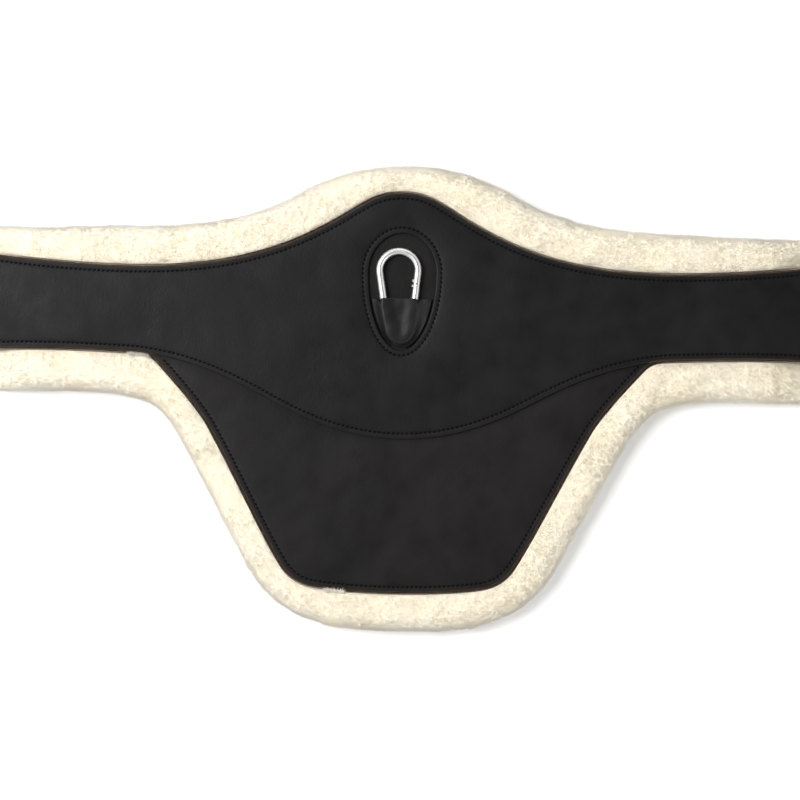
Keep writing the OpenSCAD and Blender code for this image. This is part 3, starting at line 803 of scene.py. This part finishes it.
def pad_top(flat, d, to_leather):
    """Height of the wool's upper side, d in from the outline and to_leather from the leather."""
    short = (CROWN_IN - np.clip(d, PAD_EDGE, CROWN_IN)) / (CROWN_IN - PAD_EDGE)
    crown = SIDE_TOP + CROWN * np.sqrt(np.clip(1 - short**2, 0, 1))
    tufts = 0.45 * waves(flat, 24, 31) + 0.12 * waves(flat, 9, 32)
    crown = crown + tufts * np.clip((d - PAD_EDGE) / 5, 0, 1)
    crown = crown - 1.2 * np.exp(-np.maximum(to_leather - 1, 0) / 2.5)
    return crown * end_scale(flat[:, 0])


def fleece_pad():
    """The liner's wool as one closed form with a pocket for the leather."""
    inward = inwards(fleece_line)
    n = len(fleece_line)
    side_profile = [(11.0, 2.4), (7.5, 2.7), (5.0, 3.9), (3.4, 6.2), (2.7, 9.0), (PAD_EDGE, SIDE_TOP)]
    rows = []
    for d, z in side_profile:
        flat = fleece_line + d * inward
        rows.append(np.column_stack([flat, z * end_scale(flat[:, 0])]))
    outline = rows[-1][:, :2]
    pocket = inset(leather_line, -2.0, 1.5)
    rings = [fleece_line + d * inward for d in (2.68, 2.9, 3.4, 4.2, 5.5, 7.5, 10)]
    rings += [inset(pocket, -d, 1.8) for d in (0.4, 1.2, 2.4)]
    grid = hex_grid(outline, 2.4)
    spare = (distance(grid, fleece_rough) > 12) & (distance(grid, leather_rough) < -6.4)
    flat, top = fill([outline, pocket], np.concatenate(rings + [grid[spare]]))
    d = distance(flat, fleece_line)
    d[:n] = PAD_EDGE
    z = pad_top(flat, d, -distance(flat, leather_line))
    top_points = np.column_stack([flat, z])
    parts = [strip(k * n, (k + 1) * n, n) for k in range(len(rows) - 2)]
    base = (len(rows) - 1) * n
    parts.append(strip(base - n, base, n))
    parts.append(top + base)
    points = np.vstack([np.vstack(rows[:-1]), top_points])
    wall = len(points)
    points = np.vstack([points, np.column_stack([pocket, np.full(len(pocket), POCKET_FLOOR)])])
    parts.append(strip(wall, base + n, len(pocket)))
    floor_points, floor = fill([pocket])
    parts.append(floor + wall)
    bottom_grid = hex_grid(rows[0][:, :2], 7)
    bottom_grid = bottom_grid[distance(bottom_grid, fleece_rough) > 16]
    bottom, under = fill([rows[0][:, :2]], bottom_grid)
    extra = len(points)
    hollow = 2.4 + 0.5 * waves(bottom_grid, 26, 33)
    points = np.vstack([points, np.column_stack([bottom_grid, hollow])])
    under = np.where(under < n, under, under - n + extra)
    parts.append(under[:, ::-1])
    pad = build("fleece_pad", points, np.vstack(parts), wool_ground(), "wool")
    lump = 0.3 * waves(points, 16, 34) + 0.12 * waves(points, 7, 35)
    outside = (distance(points[:, :2], leather_rough) < -2.8) & (points[:, 2] > 3)
    normals = np.array([v.normal[:] for v in pad.data.vertices])
    moved = points + normals * (lump * outside)[:, None]
    pad.data.vertices.foreach_set("co", (moved * MM).astype(np.float32).ravel())
    pad.data.update()
    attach(pad, "liner")
    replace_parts(pad, "wool_pile")
    return pad


def spread_on(pad, count, seed, weigh):
    """Random points on the pad, with the surface's normals there, where weigh lets them fall."""
    rng = np.random.default_rng(seed)
    mesh = pad.data
    points = np.array([v.co[:] for v in mesh.vertices]) / MM
    normals = np.array([v.normal[:] for v in mesh.vertices])
    faces = np.array([p.vertices[:] for p in mesh.polygons])
    a, b, c = (points[faces[:, k]] for k in range(3))
    flat = np.cross(b - a, c - a)
    area = np.linalg.norm(flat, axis=1) / 2
    middle = (a + b + c) / 3
    weight = area * weigh(middle, flat / np.maximum(2 * area, 1e-9)[:, None])
    pick = rng.choice(len(faces), count, p=weight / weight.sum())
    u, v = rng.random((2, count, 1))
    over = (u + v) > 1
    u, v = np.where(over, 1 - u, u), np.where(over, 1 - v, v)
    f = faces[pick]
    roots = points[f[:, 0]] * (1 - u - v) + points[f[:, 1]] * u + points[f[:, 2]] * v
    facing = normals[f[:, 0]] * (1 - u - v) + normals[f[:, 1]] * u + normals[f[:, 2]] * v
    facing /= np.linalg.norm(facing, axis=1)[:, None]
    return roots, facing


def clump_pull(p, cell, seed):
    """From each point to the middle of its tuft."""
    key = np.floor(p / cell).astype(int)
    best = np.full(len(p), 1e9)
    pull = np.zeros_like(p)
    for step in np.ndindex(3, 3, 3):
        corner = key + np.array(step) - 1
        mixed = corner @ np.array([73.1, 191.7, 37.3]) + seed
        shift = np.column_stack([np.modf(np.abs(np.sin(mixed + k) * 4375.85))[0] for k in range(3)])
        to = (corner + shift) * cell - p
        gap = np.linalg.norm(to, axis=1)
        nearer = gap < best
        best = np.where(nearer, gap, best)
        pull[nearer] = to[nearer]
    return pull


def fibres(name, roots, facing, long, wide, seed, share):
    """Wool as small closed spikes, sorted into tones by patch. share says how pale each root is."""
    rng = np.random.default_rng(seed)
    n = len(roots)
    comb = np.column_stack([waves(roots, 34, seed + k) for k in range(3)])
    aim = facing + 0.14 * comb + rng.normal(0, 0.15, (n, 3))
    aim /= np.linalg.norm(aim, axis=1)[:, None]
    length = long * rng.uniform(0.7, 1.25, n)
    pull = clump_pull(roots, 5.5, seed)
    tips = roots + aim * length[:, None] + 0.10 * pull
    tips[:, 2] = np.maximum(tips[:, 2], 0.15)
    side = np.cross(aim, rng.normal(size=(n, 3)))
    side /= np.linalg.norm(side, axis=1)[:, None]
    other = np.cross(aim, side)
    radius = wide * rng.uniform(0.75, 1.25, n)[:, None] / 2
    base = roots - facing * 0.5
    corners = [base + radius * (math.cos(a) * side + math.sin(a) * other) for a in (0, 2.094, 4.189)]
    points = np.stack(corners + [tips], 1)
    outward = points - points.mean(1, keepdims=True)
    outward /= np.linalg.norm(outward, axis=2)[..., None]
    normals = facing[:, None, :] + 0.12 * outward
    normals /= np.linalg.norm(normals, axis=2)[..., None]
    one = np.array([(0, 1, 3), (1, 2, 3), (2, 0, 3), (2, 1, 0)])
    tone = share + 0.5 * rng.normal(size=n)
    cuts = np.searchsorted([-0.55, -0.05, 0.38, 0.9], tone)
    for k, material in enumerate(WOOL_TONES):
        mine = np.flatnonzero(cuts == len(WOOL_TONES) - 1 - k)
        if not len(mine):
            continue
        mine = mine[:TONE_LIMIT]
        faces = (one[None] + np.arange(len(mine))[:, None, None] * 4).reshape(-1, 3)
        build(f"{name}_{material.name}", points[mine].reshape(-1, 3), faces, material, "wool", "liner",
              tidy=False, normals=normals[mine].reshape(-1, 3))


def paleness(p):
    """How pale the wool is: near-white at the outer fringe as painted backlight, which also lifts the shade
    on the wool's sides, with warmer patches inside it.
    """
    # Painted backlight: the fringe term whitens the wool near its outer edge, standing in for light from
    # behind.
    fringe = np.exp(-np.maximum(distance(p[:, :2], fleece_rough) - 1, 0) / 5)
    return 0.10 + 0.42 * waves(p, 42, 41) + 0.28 * waves(p, 12, 42) + 1.1 * fringe


def show_weight(middle, normal):
    """Fibres on the rim and the outer side, none in the pocket."""
    outside = distance(middle[:, :2], leather_rough) < -2.7
    return outside * np.clip(0.5 + 3 * (normal[:, 2] + 0.5), 0, 1)


def under_weight(middle, normal):
    """Fibres on the wool's underside only."""
    return (normal[:, 2] < -0.4) & (middle[:, 2] < 9)


def stray_tufts():
    """Wool that has worked over the leather's edge in a few places."""
    rng = np.random.default_rng(71)
    edge = inset(leather_line, -1.2, 1.0)
    inward = inwards(edge)
    roots, facing = [], []
    for spot, reach, count in (((-49, -152), 8, 260), ((-204, 34), 9, 240)):
        near = np.flatnonzero(np.linalg.norm(edge - spot, axis=1) < reach)
        if not len(near):
            continue
        pick = rng.choice(near, count)
        root = edge[pick] + rng.normal(0, 0.6, (count, 2)) - inward[pick] * 0.8
        roots.append(np.column_stack([root, rng.uniform(23.5, 25.8, count)]))
        lean = rng.uniform(0.1, 0.9, count)[:, None]
        facing.append(np.column_stack([inward[pick] * lean, np.full(count, 0.75)]))
    facing = np.vstack(facing)
    return np.vstack(roots), facing / np.linalg.norm(facing, axis=1)[:, None]


def under_band_near(p):
    """1 where an elastic passes over the wool, 0 elsewhere."""
    out = np.zeros(len(p))
    for y in STRAPS.values():
        out = np.maximum(out, (np.abs(p[:, 1] - y) < 17) * (np.abs(p[:, 0]) > 322))
    return out


def sheepskin():
    """The pad with its fibres: the rim and sides, stray tufts, and the underside."""
    pad = fleece_pad()
    roots, facing = spread_on(pad, RIM_FIBRES, 51, show_weight)
    pressed = end_scale(roots[:, 0]) < 0.75
    under = pressed & (under_band_near(roots) > 0)
    fringe = np.clip(1.6 - facing[:, 2] * 1.6, 0, 1)
    long = np.where(under, 1.0, 1.4 + 0.6 * fringe)
    fibres("wool_rim", roots, facing, long, 0.46, 61, paleness(roots))
    roots, facing = stray_tufts()
    # Painted highlight: the stray tufts get the palest tone, which lifts the grey that their shading gives
    # them.
    fibres("wool_stray", roots, facing, np.full(len(roots), 3.6), 0.42, 63, np.full(len(roots), 1.3))
    roots, facing = spread_on(pad, UNDER_FIBRES, 52, under_weight)
    fibres("wool_under", roots, facing, np.full(len(roots), 3.0), 1.0, 62, paleness(roots) - 0.1)


sheepskin()


# ---- Finishes of the CAD nodes that stay ----

def dress(names, material):
    """Gives CAD nodes that stay a material of this script."""
    for name in names:
        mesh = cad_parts[name].data
        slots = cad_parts[name].material_slots
        if not slots:
            mesh.materials.append(material)
        for slot in slots:
            slot.material = material


TAPES = ("left_arm", "right_arm", "front", "guard")
dress(["snap_hook", "hook_gate"], hook_steel)
dress(["gate_rivet", "gate_latch_pin", "gate_plunger"], pin_steel)
dress(["gate_spring"], spring_steel)
dress([f"buckle_{part}_{a}_{b}" for part in ("frame", "roller", "tongue") for a in SIDES for b in STRAPS],
      buckle_steel)
dress(["hook_tape_" + t for t in TAPES], hook_tape)
dress(["loop_tape_" + t for t in TAPES], loop_tape)
dress(["foam_core"], foam)
dress(["girth_webbing"], webbing)
dress(["sheepskin_hide"], hide)


# ---- Stage, light and camera ----

VIEW_FROM = 2000.0     # camera to leather
VIEW_ACROSS = 624.0    # width in view at the leather
SENSOR = 36.0


def stage():
    """Pale floor, soft studio light and the camera, straight above."""
    scene = bpy.context.scene
    scene.view_settings.view_transform = "Standard"
    scene.view_settings.look = "None"
    floor_material, tree, bsdf = new_shader("floor_paint", Roughness=0.8, Specular_IOR_Level=0.1)
    tree.links.new(
        ramp(tree, noise(tree, 0.6, 1), [(0.0, (0.93, 0.93, 0.93)), (1.0, (0.95, 0.95, 0.95))]),
        bsdf.inputs["Base Color"])
    mesh = bpy.data.meshes.new("floor")
    corners = [(x, y, -0.0003) for x, y in ((-4, -4), (4, -4), (4, 4), (-4, 4))]
    mesh.from_pydata(corners, [], [(0, 1, 2, 3)])
    mesh.materials.append(floor_material)
    floor = bpy.data.objects.new("floor", mesh)
    scene.collection.objects.link(floor)

    world = bpy.data.worlds.new("studio")
    world.use_nodes = True
    tree = world.node_tree
    direction = node(tree, "ShaderNodeTexCoord").outputs["Generated"]
    height = node(tree, "ShaderNodeSeparateXYZ", {"Vector": direction}).outputs["Z"]
    sky = ramp(tree, height, [
        (0.0, (1.2, 1.2, 1.2)), (0.35, (1.0, 1.0, 1.0)), (0.55, (0.9, 0.9, 0.9)), (0.90, (0.02, 0.02, 0.021)),
    ])
    background = tree.nodes["Background"]
    tree.links.new(sky, background.inputs["Color"])
    background.inputs["Strength"].default_value = 1.31
    scene.world = world

    def softbox(name, at, size, power):
        light = bpy.data.lights.new(name, "AREA")
        light.shape = "RECTANGLE"
        light.size, light.size_y = size
        light.energy = power
        lamp = bpy.data.objects.new(name, light)
        lamp.location = at
        lamp.rotation_euler = (-Vector(at)).to_track_quat("-Z", "Y").to_euler()
        scene.collection.objects.link(lamp)

    softbox("key", (-1.2, 0.35, 1.9), (0.9, 1.1), 42)
    softbox("fill", (1.6, -0.9, 1.3), (1.0, 1.0), 9)
    softbox("back", (0.3, 2.0, 1.0), (2.0, 0.6), 7)

    camera_data = bpy.data.cameras.new("camera")
    camera_data.sensor_width = SENSOR
    camera_data.lens = SENSOR * VIEW_FROM / VIEW_ACROSS
    camera_data.clip_end = 20
    camera = bpy.data.objects.new("camera", camera_data)
    camera.location = (0, -0.001, (VIEW_FROM + PANEL_TOP) * MM)
    camera.rotation_euler = (0, 0, math.radians(1.0))
    scene.collection.objects.link(camera)
    scene.camera = camera


stage()
